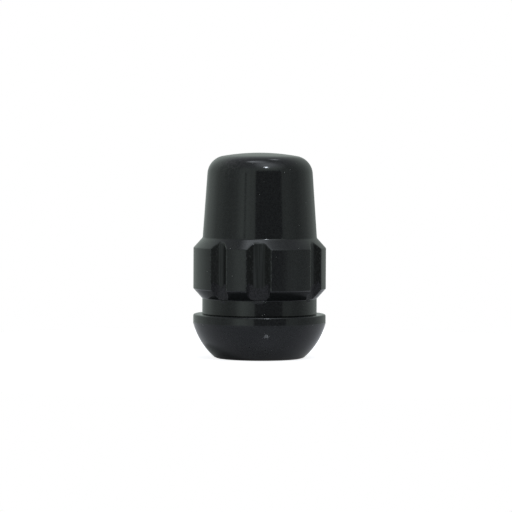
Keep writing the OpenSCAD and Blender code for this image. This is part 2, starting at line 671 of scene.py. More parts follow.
@dataclass(frozen=True)
class TurnedBlank:
    """The nut as it leaves the lathe, before the grooves and the thread are cut."""

    seat_ball_radius: float = 12.0
    seat_ball_height: float = 9.2
    rim_radius: float = 11.6
    flange_height: float = 7.7
    rim_round: float = 0.3
    base_break: float = 0.25
    collar_radius: float = 10.025
    collar_length: float = 2.75
    chamfer_angle: float = 42.0
    land_length: float = 7.1
    land_round: float = 0.15
    cap_radius: float = 10.0
    cap_height: float = 14.85
    cap_taper: float = 4.0
    crown_radius: float = 37.0
    shoulder_radius: float = 3.3
    gloss_edge: float = 0.13
    collar_relief: float = 0.12
    cap_fillet: float = 0.4
    crown_thickness: float = 5.8
    plain_columns: int = 144
    crown_columns: int = 36
    crown_reach: float = 2.5
    seat_steps: int = 22
    rim_spacing: float = 0.3
    face_spacing: float = 0.4
    tear_spacing: float = 0.085
    land_spacing: float = 0.3
    chamfer_spacing: float = 0.1
    cap_spacing: float = 0.9
    shoulder_steps: int = 20
    crown_steps: int = 14
    grooves: KeyGrooves = field(default_factory=KeyGrooves)

    @property
    def collar_top(self) -> float:
        """Height of the collar's upper end, where the lower chamfer begins."""
        return self.flange_height + self.collar_length

    @property
    def land_bottom(self) -> float:
        """Height of the lower end of the lands."""
        return self.collar_top + self._chamfer_rise(self.collar_radius)

    @property
    def land_top(self) -> float:
        """Height of the upper end of the lands."""
        return self.land_bottom + self.land_length

    @property
    def cap_bottom(self) -> float:
        """Height of the cap's foot, where the upper chamfer ends."""
        return self.land_top + self._chamfer_rise(self.cap_radius)

    @property
    def height(self) -> float:
        """Height of the whole nut."""
        return self.cap_bottom + self.cap_height

    @property
    def hole(self) -> TappedHole:
        """The hole, which leaves the crown its thickness."""
        return TappedHole(point_top=self.height - self.crown_thickness)

    @property
    def runout_top(self) -> float:
        """Height of the upper end of the torn run-outs, at the lands."""
        return self.collar_top + self.grooves.runout_height

    def _chamfer_rise(self, inner_radius: float) -> float:
        """How high a chamfer is that goes from an inner radius out to the lands."""
        return (self.grooves.band_radius - inner_radius) / math.tan(math.radians(self.chamfer_angle))

    def seat_section(self) -> list[Point]:
        """Points of the flange's half section, from the base's edge to the foot of the collar."""
        ball = (0.0, self.seat_ball_height)
        edge = math.sqrt(self.seat_ball_radius ** 2 - self.seat_ball_height ** 2)
        foot = edge - self.base_break
        lean = math.atan2(edge, self.seat_ball_height) / 2
        # The flat that breaks the base's edge meets the ball where this root says
        across = foot * math.cos(lean) - self.seat_ball_height * math.sin(lean)
        gap = foot ** 2 + self.seat_ball_height ** 2 - self.seat_ball_radius ** 2
        length = math.sqrt(across ** 2 - gap) - across
        drop = math.sqrt(self.seat_ball_radius ** 2 - self.rim_radius ** 2)
        line = SectionLine((foot, 0.0))
        line.straight((foot + length * math.cos(lean), length * math.sin(lean)), self.base_break / 2)
        line.bend(ball, (self.rim_radius, self.seat_ball_height - drop), self.seat_steps)
        collar_foot = (self.collar_radius, self.flange_height)
        line.corner((self.rim_radius, self.flange_height), collar_foot, self.rim_round, self.rim_spacing)
        collar_end = (self.collar_radius, self.collar_top)
        line.relief(collar_foot, collar_end, self.collar_relief, self.face_spacing)
        return line.points

    def band_section(self, start: Point) -> list[Point]:
        """Points of the collar's and the drive band's half section, up to the foot of the cap.

        Args:
            start: the last point below, which isn't given again.

        Returns:
            The points.
        """
        band = self.grooves.band_radius
        tear_top = self.runout_top + self.grooves.tear_wander
        cap_foot = (self.cap_radius, self.cap_bottom)
        cap_side = polar(cap_foot, self.cap_height, math.radians(RIGHT_ANGLE + self.cap_taper))
        line = SectionLine(start)
        below_lips = self.collar_top - 2 * self.grooves.lip_drop
        line.straight((self.collar_radius, below_lips), self.face_spacing)
        line.straight((self.collar_radius, self.collar_top), self.tear_spacing)
        line.corner((band, self.land_bottom), (band, self.land_top), self.land_round, self.tear_spacing)
        line.straight((band, tear_top), self.tear_spacing)
        line.corner((band, self.land_top), cap_foot, self.land_round, self.land_spacing)
        line.corner(cap_foot, cap_side, self.cap_fillet, self.chamfer_spacing)
        return line.points[1:]

    def cap_section(self, start: Point) -> list[Point]:
        """Points of the cap's half section, up to the middle of its crown.

        Args:
            start: the last point below, which isn't given again.

        Returns:
            The points.
        """
        taper = math.radians(self.cap_taper)
        outward = Vector((math.cos(taper), math.sin(taper)))
        upward = Vector((-math.sin(taper), math.cos(taper)))
        crown = Vector((0.0, self.height - self.crown_radius))
        # The shoulder's centre lies its radius inside the side and inside the crown
        inside = Vector((self.cap_radius, self.cap_bottom)) - outward * self.shoulder_radius
        away = inside - crown
        reach = self.crown_radius - self.shoulder_radius
        along = math.sqrt(away.dot(upward) ** 2 - away.length_squared + reach ** 2) - away.dot(upward)
        shoulder = inside + upward * along
        shoulder_end = shoulder + (shoulder - crown).normalized() * self.shoulder_radius
        line = SectionLine(start)
        line.straight(tuple(shoulder + outward * self.shoulder_radius), self.cap_spacing)
        line.bend(tuple(shoulder), tuple(shoulder_end), self.shoulder_steps)
        line.bend(tuple(crown), (0.0, self.height), self.crown_steps)
        return line.points[1:]

    def rings(self) -> RingStack:
        """Stacks the blank's rings, from the tip of the hole round the base and up to the crown."""
        keyed = self.grooves.columns()
        first = keyed[0].turn
        plain = even_columns(first, self.plain_columns)
        crown = even_columns(first, self.crown_columns)
        axis = even_columns(first, 1)
        bore = even_columns(first, self.hole.column_count)
        stack = RingStack()
        for place in self.hole.section():
            stack.add(place, bore if place[0] else axis, Zone.HOLE)
        seat = self.seat_section()
        for place in seat:
            stack.add(place, plain, Zone.OUTSIDE)
        band = self.band_section(seat[-1])
        for place in band:
            stack.add(place, keyed, Zone.OUTSIDE)
        cap = self.cap_section(band[-1])
        for place in cap[:-1]:
            stack.add(place, plain if place[0] > self.crown_reach else crown, Zone.OUTSIDE)
        stack.add((0.0, self.height), axis, Zone.OUTSIDE)
        return stack


def even_columns(first: float, count: int) -> list[Column]:
    """Columns at even angles, far from any groove.

    Args:
        first: the angle of the first column, in radians.
        count: how many there are.

    Returns:
        The columns, in order of their turn.
    """
    return [Column(first + FULL_TURN * i / count) for i in range(count)]


class CuttingTree:
    """The Geometry Nodes tree that cuts the grooves and the thread in a turned blank."""

    NAME = "cut_grooves_and_thread"
    # The finishes in the order in which they go on, and the kinds of surface that each goes on
    FINISHED = {
        "Gloss coating": (),
        "Undercut coating": (Surface.UNDERCUT,),
        "Broached coating": (Surface.FLOOR, Surface.FLANK),
        "Torn coating": (Surface.TORN,),
        "Thread finish": (Surface.TAPPED,),
    }

    def __init__(self, blank: TurnedBlank) -> None:
        """Makes an empty tree and its named inputs.

        Args:
            blank: the blank that the tree is for, which has the sizes.
        """
        self.blank = blank
        self.group = bpy.data.node_groups.new(self.NAME, "GeometryNodeTree")
        self.board = NodeBoard(self.group)
        self.sizes = self._sizes()
        self.sockets: dict[str, str] = {}
        kind = "NodeSocketGeometry"
        self._add_socket("Geometry", kind)
        for name in self.sizes:
            self._add_socket(name, "NodeSocketFloat")
        for name in self.FINISHED:
            self._add_socket(name, "NodeSocketMaterial")
        self.group.interface.new_socket(name="Geometry", in_out="OUTPUT", socket_type=kind)
        self.inputs = self.board.node("NodeGroupInput", {})

    def _add_socket(self, name: str, kind: str) -> None:
        """Adds a named input and keeps its identifier."""
        socket = self.group.interface.new_socket(name=name, in_out="INPUT", socket_type=kind)
        self.sockets[name] = socket.identifier

    def _sizes(self) -> dict[str, float]:
        """The tree's named inputs and their values: lengths, the flanks' slope and a seed."""
        grooves = self.blank.grooves
        hole = self.blank.hole
        return {
            "Floor reach": grooves.floor_reach,
            "Flank slope": grooves.flank_slope,
            "Floor round": grooves.floor_round,
            "Edge round": grooves.edge_round,
            "Undercut top": self.blank.land_bottom - self.blank.gloss_edge,
            "Satin bottom": self.blank.land_bottom,
            "Satin top": self.blank.land_top,
            "Run-out foot reach": self.blank.collar_radius + grooves.runout_step,
            "Run-out foot rise": self.blank.collar_top,
            "Run-out bend rise": self.blank.runout_top - grooves.depth,
            "Run-out wall lean": grooves.wall_lean,
            "Tongue height": grooves.tongue_height,
            "Tongue narrowing": grooves.tongue_narrowing,
            "Fang rise": grooves.fang_rise,
            "Lip drop": grooves.lip_drop,
            "Lip height": grooves.lip_height,
            "Crevice inset": grooves.crevice_inset,
            "Crevice width": grooves.crevice_width,
            "Crevice depth": grooves.crevice_depth,
            "Tear depth": grooves.tear_depth,
            "Tear wander": grooves.tear_wander,
            "Tear seed": grooves.seed,
            "Thread drill reach": hole.drill_radius,
            "Thread reach": hole.thread_diameter / 2,
            "Thread pitch": hole.pitch,
            "Thread end": hole.depth,
        }

    def _input(self, name: str) -> Field:
        """One of the tree's sizes."""
        return self.board.number(self.inputs, name)

    def _value(self, name: str) -> Field:
        """A value that the blank's points have."""
        node = self.board.node("GeometryNodeInputNamedAttribute", {"Name": name}, data_type="FLOAT")
        return self.board.number(node)

    def build(self) -> bpy.types.NodeTree:
        """Adds all the nodes.

        Returns:
            The tree.
        """
        reach = self._value("reach")
        in_hole = self._value("zone")
        marks, cut_reach = self._cut_grooves(reach)
        thread_reach = self._cut_thread(reach)
        outside = 1 - in_hole
        turn = self._value("turn")
        new_reach = in_hole.mix(cut_reach, thread_reach) * MILLIMETRE
        rise = self._value("rise") * MILLIMETRE
        place = self.board.vector(new_reach * turn.cosine(), new_reach * turn.sine(), rise)
        shape = self.inputs.outputs["Geometry"]
        for surface, mark in marks.items():
            shape = self._store(shape, surface, mark * outside)
        shape = self._store(shape, Surface.TAPPED, in_hole)
        shape = self._change("GeometryNodeSetPosition", shape, {"Position": place})
        for name in RingStack.VALUES:
            shape = self._change("GeometryNodeRemoveAttribute", shape, {"Name": name})
        shape = self._change("GeometryNodeSetShadeSmooth", shape, {})
        shape = self._change("GeometryNodeRealizeInstances", shape, {})
        for name, surfaces in self.FINISHED.items():
            inputs = {"Material": self.inputs.outputs[name]}
            if surfaces:
                inputs["Selection"] = sum(self._value(surface.value) for surface in surfaces).over(HALF)
            shape = self._change("GeometryNodeSetMaterial", shape, inputs)
        self.board.node("NodeGroupOutput", {"Geometry": shape})
        return self.group

    def _change(
        self, kind: str, shape: bpy.types.NodeSocket, inputs: dict[str, Any], **settings: Any
    ) -> bpy.types.NodeSocket:
        """Adds a node that changes the geometry.

        Args:
            kind: the node's type.
            shape: the geometry.
            inputs: values or sockets for its other inputs, by name.
            settings: the node's own options.

        Returns:
            The changed geometry.
        """
        return self.board.node(kind, {"Geometry": shape, **inputs}, **settings).outputs[0]

    def _store(self, shape: bpy.types.NodeSocket, surface: Surface, mark: Field) -> bpy.types.NodeSocket:
        """Keeps a mark on the points.

        Args:
            shape: the geometry.
            surface: the kind of surface that is marked.
            mark: how much of that kind each point is, from 0 to 1.

        Returns:
            The geometry with the mark.
        """
        inputs = {"Name": surface.value, "Value": mark}
        kind = "GeometryNodeStoreNamedAttribute"
        return self._change(kind, shape, inputs, data_type="FLOAT", domain="POINT")

    def _cut_grooves(self, reach: Field) -> tuple[dict[Surface, Field], Field]:
        """Cuts the key grooves and their torn run-outs.

        Args:
            reach: the blank's distance from the axis.

        Returns:
            The marks of the surfaces that come of it, and the new distance from the axis.
        """
        grooves = self.blank.grooves
        floor_reach = self._input("Floor reach")
        flank_slope = self._input("Flank slope")
        half_floor = self._value("half_floor")
        across = abs(self._value("across"))
        straight = across.cosine()
        sideways = across.sine()
        floor = floor_reach / straight
        # Past this angle a flank would never meet the lands, and it is kept out of reach
        flank_turn = (straight - sideways * flank_slope).most(grooves.least_flank_turn)
        flank = (floor_reach - half_floor * flank_slope) / flank_turn
        groove = floor.soft_most(flank, self._input("Floor round"))
        drawn = reach.soft_least(groove, self._input("Edge round"))
        torn = self._tear(reach, straight, sideways)
        lip = self._lip(reach * sideways)
        cut = drawn.soft_least(torn, grooves.tear_round) + lip * self._input("Lip height")
        width = grooves.mark_width
        is_torn = (drawn - torn).ramp(-width, width).most(lip.over(0.0))
        is_drawn = (reach - groove).ramp(-width, width) * (1 - is_torn)
        is_floor = (floor - flank).ramp(-width, width)
        is_edge = 1 - abs(reach - groove).ramp(0.0, self._input("Edge round"))
        rise = self._value("rise")
        below_top = 1 - rise.over(self._input("Satin top") + width)
        is_satin = rise.over(self._input("Satin bottom") + width) * below_top
        below_edge = 1 - rise.over(self._input("Undercut top"))
        is_undercut = rise.over(self._input("Run-out foot rise")) * below_edge
        is_uncut = (1 - is_drawn) * (1 - is_torn)
        marks = {
            Surface.SATIN: is_satin * is_uncut,
            Surface.UNDERCUT: is_undercut * is_uncut,
            Surface.EDGE: is_edge * (1 - is_torn),
            Surface.FLOOR: is_drawn * is_floor,
            Surface.FLANK: is_drawn * (1 - is_floor),
            Surface.TORN: is_torn,
        }
        return marks, cut

    def _tear(self, reach: Field, straight: Field, sideways: Field) -> Field:
        """The torn surface of the run-outs, where the broached chip broke away.

        Args:
            reach: the blank's distance from the axis.
            straight: cosine of the angle from the groove's middle.
            sideways: sine of that angle.

        Returns:
            The torn surface's distance from the axis, far out where there is none.
        """
        board = self.board
        grooves = self.blank.grooves
        seed = self._input("Tear seed")
        turn = self._value("turn")
        rise = self._value("rise")
        flat_place = board.vector(turn * grooves.band_radius, rise, 0.0)
        wander = board.noise(flat_place, grooves.wander_grain, seed) - HALF
        grain = board.noise(flat_place, grooves.tear_grain, seed, grooves.tear_detail) - HALF
        above_foot = rise - self._input("Run-out foot rise")
        floor_reach = self._input("Floor reach")
        foot_reach = self._input("Run-out foot reach")
        bend_rise = self._input("Run-out bend rise")
        lean = (floor_reach - foot_reach) / (bend_rise - self._input("Run-out foot rise"))
        tongue = foot_reach + above_foot * lean
        # The tear climbs into a fang on either flank before it breaks out through the lands
        tear_rise = rise + wander * self._input("Tear wander")
        top = floor_reach + (tear_rise - bend_rise - self._input("Fang rise"))
        # The grain dies out at the foot, which stays close to the collar
        roughness = grain * self._input("Tear depth") * above_foot.ramp(0.0, grooves.tear_grain)
        surface = tongue.soft_most(top, grooves.runout_round) + roughness
        wall_lean = self._input("Run-out wall lean")
        narrowing = 1 - (above_foot / self._input("Tongue height")).most(0.0).least(1.0)
        half_width = self._value("half_mouth") - self._input("Tongue narrowing") * narrowing
        off_edge = reach * sideways - half_width
        past_wall = off_edge / wall_lean + 1
        off_crevice = abs(off_edge + self._input("Crevice inset"))
        crevice = (1 - off_crevice / self._input("Crevice width")).most(0.0)
        fade = grooves.crevice_fade
        low_end = above_foot.ramp(grooves.crevice_bottom - fade, grooves.crevice_bottom + fade)
        high_end = above_foot.ramp(grooves.crevice_top - fade, grooves.crevice_top + fade)
        surface = surface - crevice * (low_end - high_end) * self._input("Crevice depth")
        # The walls beside the tear, and the collar below it, leave the tear out of reach
        away = past_wall.most(0.0) * grooves.depth + (above_foot / -grooves.tear_round).most(0.0)
        return surface / straight + away

    def _lip(self, off_middle: Field) -> Field:
        """The lip in which a tongue hangs over the collar.

        Args:
            off_middle: distance from the groove's middle.

        Returns:
            1 in the middle of the lip, falling to 0 round its edge.
        """
        drop = (self._input("Run-out foot rise") - self._value("rise")) / self._input("Lip drop")
        narrowing = self._input("Tongue narrowing") + self._input("Run-out wall lean")
        across = off_middle / (self._value("half_mouth") - narrowing)
        inside = (1 - drop * drop - across * across).ramp(0.0, HALF)
        return inside * drop.over(0.0)

    def _cut_thread(self, reach: Field) -> Field:
        """Cuts the thread in the hole.

        Args:
            reach: the blank hole's distance from the axis.

        Returns:
            The threaded hole's distance from the axis.
        """
        hole = self.blank.hole
        pitch = self._input("Thread pitch")
        drill = self._input("Thread drill reach")
        rise = self._value("rise")
        phase = (rise / pitch - self._value("turn") / FULL_TURN).fraction()
        # 0 in the middle of a crest and 1 in the middle of a groove of the thread
        swing = 1 - abs(phase * 2 - 1)
        flank = ((swing - hole.crest_share * 2) / (hole.flank_share * 2)).most(0.0).least(1.0)
        runout = pitch * hole.runout_pitches
        left = ((self._input("Thread end") - rise) / runout - 1).most(0.0).least(1.0)
        threaded = drill + (self._input("Thread reach") - drill) * flank * left
        return reach.most(threaded)


@dataclass(frozen=True)
class Paint:
    """What a finish gives its shader at each point of the surface, with the relief in millimetres."""

    colour: bpy.types.NodeSocket
    roughness: Number
    relief: Field


@dataclass(frozen=True)
class Finish:
    """A finish of the nut, whose patterns are read in millimetres from the nut's own origin."""

    name: str = "finish"
    shine: float = 0.5
    seed: float = 2.0

    def material(self) -> bpy.types.Material:
        """Makes the finish's material.

        Returns:
            The material.
        """
        material = bpy.data.materials.new(self.name)
        material.use_nodes = True
        board = NodeBoard(material.node_tree)
        place = board.node("ShaderNodeTexCoord", {}).outputs["Object"]
        paint = self.paint(board, board.stretched(place, TO_MILLIMETRES))
        bump = board.node("ShaderNodeBump", {"Height": paint.relief, "Distance": MILLIMETRE})
        inputs = {
            "Base Color": paint.colour,
            "Roughness": paint.roughness,
            "Specular IOR Level": self.shine,
            "Normal": bump.outputs[0],
        }
        shader = board.node("ShaderNodeBsdfPrincipled", inputs)
        board.node("ShaderNodeOutputMaterial", {"Surface": shader.outputs[0]})
        return material

    def paint(self, board: NodeBoard, place: bpy.types.NodeSocket) -> Paint:
        """Works out the finish at each point, which each kind of finish does in its own way.

        Args:
            board: the material's tree.
            place: where the patterns are read, in millimetres.

        Returns:
            The paint.
        """
        raise NotImplementedError


@dataclass(frozen=True)
class GlossCoat(Finish):
    """Gloss black coating over steel, satin on the lands and scuffed on the shoulder, with dust."""

    name: str = "gloss_black_coating"
    colour: Colour = (0.0122, 0.0128, 0.0144)
    cloud_colour: Colour = (0.0200, 0.0212, 0.0216)
    # Painted highlight: the lighter colour of the rounded edges, which stands in for the light that
    # their rounding catches
    edge_highlight_colour: Colour = (0.065, 0.068, 0.068)
    dust_colour: Colour = (0.50, 0.50, 0.48)
    roughness: float = 0.09
    cloud_roughness: float = 0.13
    satin_roughness: float = 0.25
    cloud_grain: float = 0.32
    cloud_detail: float = 3.0
    cloud_range: tuple[float, float] = (0.35, 0.65)
    peel_grain: float = 0.5
    peel_height: float = 0.0020
    # Noise for the shoulder's scuffs and for the patches where the painted edge highlight shows
    wear_and_highlight_grain: float = 0.5
    wear_and_highlight_range: tuple[float, float] = (0.38, 0.66)
    scuff_colour: Colour = (0.060, 0.054, 0.058)
    scuff_place: tuple[float, float, float] = (-4.7, -6.7, 34.0)
    scuff_reach: float = 4.5
    scuff_share: float = 0.6
    dust_cell: float = 1.6
    dust_radius: float = 0.075
    dust_core: float = 0.04

    def paint(self, board: NodeBoard, place: bpy.types.NodeSocket) -> Paint:
        """Cloudy gloss with a faint peel, a painted highlight on the rounded edges, a scuffed shoulder
        and dust.

        Args:
            board: the material's tree.
            place: where the patterns are read, in millimetres.

        Returns:
            The paint.
        """
        clouds = board.noise(place, self.cloud_grain, self.seed, self.cloud_detail)
        clouds = clouds.ramp(*self.cloud_range)
        wear_and_edge_highlight = board.noise(place, self.wear_and_highlight_grain, self.seed).ramp(*self.wear_and_highlight_range)
        dust = self._dust(board, place)
        colour = board.blend(clouds, self.colour, self.cloud_colour)
        # Painted highlight: the rounded edges are lightened in patches of the same noise as the scuffs
        colour = board.blend(board.mark(Surface.EDGE) * wear_and_edge_highlight, colour, self.edge_highlight_colour)
        off_scuff = board.distance(place, self.scuff_place).ramp(0.0, self.scuff_reach)
        scuff = (1 - off_scuff) * self.scuff_share * wear_and_edge_highlight
        colour = board.blend(scuff, colour, self.scuff_colour)
        colour = board.blend(dust, colour, self.dust_colour)
        roughness = clouds.mix(self.roughness, self.cloud_roughness)
        roughness = board.mark(Surface.SATIN).mix(roughness, self.satin_roughness)
        peel = board.noise(place, self.peel_grain, self.seed)
        relief = peel * self.peel_height + dust * self.dust_radius
        return Paint(colour, roughness.most(dust), relief)

    def _dust(self, board: NodeBoard, place: bpy.types.NodeSocket) -> Field:
        """Small specks of dust, 1 where there is one.

        Args:
            board: the material's tree.
            place: where the dust is read, in millimetres.

        Returns:
            The dust.
        """
        inputs = {"Vector": place, "Scale": 1 / self.dust_cell}
        cells = board.node("ShaderNodeTexVoronoi", inputs, voronoi_dimensions="3D", feature="F1")
        distance = board.number(cells, "Distance") * self.dust_cell
        return 1 - distance.ramp(self.dust_core, self.dust_radius)


@dataclass(frozen=True)
class BroachedCoat(Finish):
    """Thin coating in the key grooves: mottled on the flanks, drawn into upright lines on the floors."""

    name: str = "broached_black_coating"
    shine: float = 0.32
    flank_colour: Colour = (0.0100, 0.0110, 0.0104)
    flank_dark: Colour = (0.0012, 0.0015, 0.0014)
    fleck_colour: Colour = (0.045, 0.045, 0.045)
    floor_colour: Colour = (0.048, 0.050, 0.049)
    floor_dark: Colour = (0.012, 0.013, 0.013)
    flank_roughness: float = 0.40
    floor_roughness: float = 0.34
    spot_grain: float = 0.28
    spot_range: tuple[float, float] = (0.40, 0.62)
    spot_height: float = 0.02
    fleck_grain: float = 0.2
    fleck_length: float = 0.5
    fleck_range: tuple[float, float] = (0.56, 0.72)
    fleck_seed: float = 3.0
    line_width: float = 0.12
    line_length: float = 8.0
    line_range: tuple[float, float] = (0.35, 0.65)
    line_height: float = 0.012

    def paint(self, board: NodeBoard, place: bpy.types.NodeSocket) -> Paint:
        """Spots on the flanks and lines on the floors.

        Args:
            board: the material's tree.
            place: where the patterns are read, in millimetres.

        Returns:
            The paint.
        """
        floor = board.mark(Surface.FLOOR)
        spots = board.noise(place, self.spot_grain, self.seed).ramp(*self.spot_range)
        drawn_out = board.stretched(place, [1.0, 1.0, self.line_width / self.line_length])
        lines = board.noise(drawn_out, self.line_width, self.seed).ramp(*self.line_range)
        scratched = board.stretched(place, [1.0, 1.0, self.fleck_grain / self.fleck_length])
        flecks = board.noise(scratched, self.fleck_grain, self.fleck_seed).ramp(*self.fleck_range)
        flank_colour = board.blend(spots, self.flank_dark, self.flank_colour)
        flank_colour = board.blend(flecks, flank_colour, self.fleck_colour)
        floor_colour = board.blend(lines, self.floor_dark, self.floor_colour)
        colour = board.blend(floor, flank_colour, floor_colour)
        relief = floor.mix(spots * self.spot_height, lines * self.line_height)
        return Paint(colour, floor.mix(self.flank_roughness, self.floor_roughness), relief)


@dataclass(frozen=True)
class GrainyCoat(Finish):
    """Dull coating over grainy metal, such as the torn metal of the run-outs."""

    name: str = "torn_black_coating"
    colour: Colour = (0.034, 0.032, 0.036)
    dark: Colour = (0.006, 0.006, 0.007)
    roughness: float = 0.58
    grain: float = 0.22
    grain_detail: float = 4.0
    grain_range: tuple[float, float] = (0.36, 0.60)
    height: float = 0.05

    def paint(self, board: NodeBoard, place: bpy.types.NodeSocket) -> Paint:
        """Light grains over dark pits.

        Args:
            board: the material's tree.
            place: where the patterns are read, in millimetres.

        Returns:
            The paint.
        """
        grains = board.noise(place, self.grain, self.seed, self.grain_detail)
        colour = board.blend(grains.ramp(*self.grain_range), self.dark, self.colour)
        return Paint(colour, self.roughness, grains * self.height)


@dataclass(frozen=True)
class ThreadFinish(Finish):
    """The thread and the drilled end of the hole: coated steel with the lines of the tool round it."""

    name: str = "tapped_black_coating"
    colour: Colour = (0.016, 0.016, 0.017)
    oily: Colour = (0.007, 0.007, 0.008)
    roughness: float = 0.34
    oily_roughness: float = 0.20
    oil_grain: float = 2.2
    oil_range: tuple[float, float] = (0.42, 0.62)
    line_width: float = 0.09
    line_length: float = 3.0
    line_height: float = 0.006

    def paint(self, board: NodeBoard, place: bpy.types.NodeSocket) -> Paint:
        """Patches of oil over tool lines that go round the hole.

        Args:
            board: the material's tree.
            place: where the patterns are read, in millimetres.

        Returns:
            The paint.
        """
        oil = board.noise(place, self.oil_grain, self.seed).ramp(*self.oil_range)
        round_about = self.line_width / self.line_length
        drawn_out = board.stretched(place, [round_about, round_about, 1.0])
        lines = board.noise(drawn_out, self.line_width, self.seed)
        colour = board.blend(oil, self.colour, self.oily)
        return Paint(colour, oil.mix(self.roughness, self.oily_roughness), lines * self.line_height)


@dataclass(frozen=True)
class LugNut:
    """The whole nut: its blank, the cuts and the coating."""

    name: str = "lug_nut_finished"
    blank: TurnedBlank = field(default_factory=TurnedBlank)
    gloss: GlossCoat = GlossCoat()
    broached: BroachedCoat = BroachedCoat()
    undercut: GrainyCoat = GrainyCoat(
        name="dull_black_coating",
        shine=0.09,
        colour=(0.021, 0.022, 0.022),
        dark=(0.013, 0.014, 0.014),
        roughness=0.14,
        height=0.0,
    )
    torn: GrainyCoat = GrainyCoat()
    thread: ThreadFinish = ThreadFinish()
    crease_angle: float = 50.0

    def build(self) -> bpy.types.Object:
        """Turns, cuts and coats the nut.

        Returns:
            The finished piece, as a plain mesh at the origin.
        """
        rough = bpy.data.objects.new(self.name + "_blank", self.blank.rings().mesh("turned_blank"))
        bpy.context.scene.collection.objects.link(rough)
        tree = CuttingTree(self.blank)
        modifier = rough.modifiers.new("cut", "NODES")
        modifier.node_group = tree.build()
        for name, value in tree.sizes.items():
            modifier[tree.sockets[name]] = value
        finishes = (self.gloss, self.undercut, self.broached, self.torn, self.thread)
        for name, finish in zip(tree.FINISHED, finishes):
            modifier[tree.sockets[name]] = finish.material()
        depsgraph = bpy.context.evaluated_depsgraph_get()
        mesh = bpy.data.meshes.new_from_object(
            rough.evaluated_get(depsgraph), preserve_all_data_layers=True, depsgraph=depsgraph
        )
        bpy.data.objects.remove(rough)
        mesh.name = self.name
        mesh.set_sharp_from_angle(angle=math.radians(self.crease_angle))
        piece = bpy.data.objects.new(self.name, mesh)
        bpy.context.scene.collection.objects.link(piece)
        return piece

    def place(self, piece: bpy.types.Object) -> None:
        """Puts the finished piece on the frame, in place of its plain solid."""
        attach(piece, NUT_BODY)
        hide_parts(NUT_NODE)


def direction_of(side: float, height: float) -> Vector:
    """The direction at an angle to the right of the camera and an angle above the horizon."""
    flat = math.cos(math.radians(height))
    turn = math.radians(side)
    return Vector((math.sin(turn) * flat, -math.cos(turn) * flat, math.sin(math.radians(height))))


def sees_backdrop(board: NodeBoard, gloss_share: Number) -> Field:
    """How much of the plain white background a ray sees.

    Args:
        board: the tree of the floor or of the world.
        gloss_share: the share of it that gloss shows.

    Returns:
        1 for the camera and through glass, the share in gloss, and 0 for what only lights the nut.
    """
    rays = board.node("ShaderNodeLightPath", {})
    plain = board.number(rays, "Is Camera Ray").most(board.number(rays, "Is Transmission Ray"))
    return plain.most(board.number(rays, "Is Glossy Ray") * gloss_share)


@dataclass(frozen=True)
class SoftLamp:
    """A round lamp with an even face that looks at the nut."""

    name: str
    side: float
    height: float
    distance: float
    diameter: float
    brightness: float
    tint: Colour = (0.92, 0.99, 1.07)

    def hang(self) -> None:
        """Hangs the lamp in the scene."""
        lamp = bpy.data.lights.new(self.name, "AREA")
        lamp.shape = "DISK"
        lamp.color = self.tint
        lamp.size = self.diameter * MILLIMETRE
        face = math.pi * (lamp.size / 2) ** 2
        lamp.energy = self.brightness * math.pi * face
        holder = bpy.data.objects.new(self.name, lamp)
        away = direction_of(self.side, self.height)
        holder.location = away * self.distance * MILLIMETRE
        holder.rotation_euler = away.to_track_quat("Z", "Y").to_euler()
        bpy.context.scene.collection.objects.link(holder)


@dataclass(frozen=True)
class Glow:
    """A round patch of brighter cloth on the tent, even in its core and fading out to its reach."""

    side: float
    height: float
    core: float
    reach: float
    brightness: float


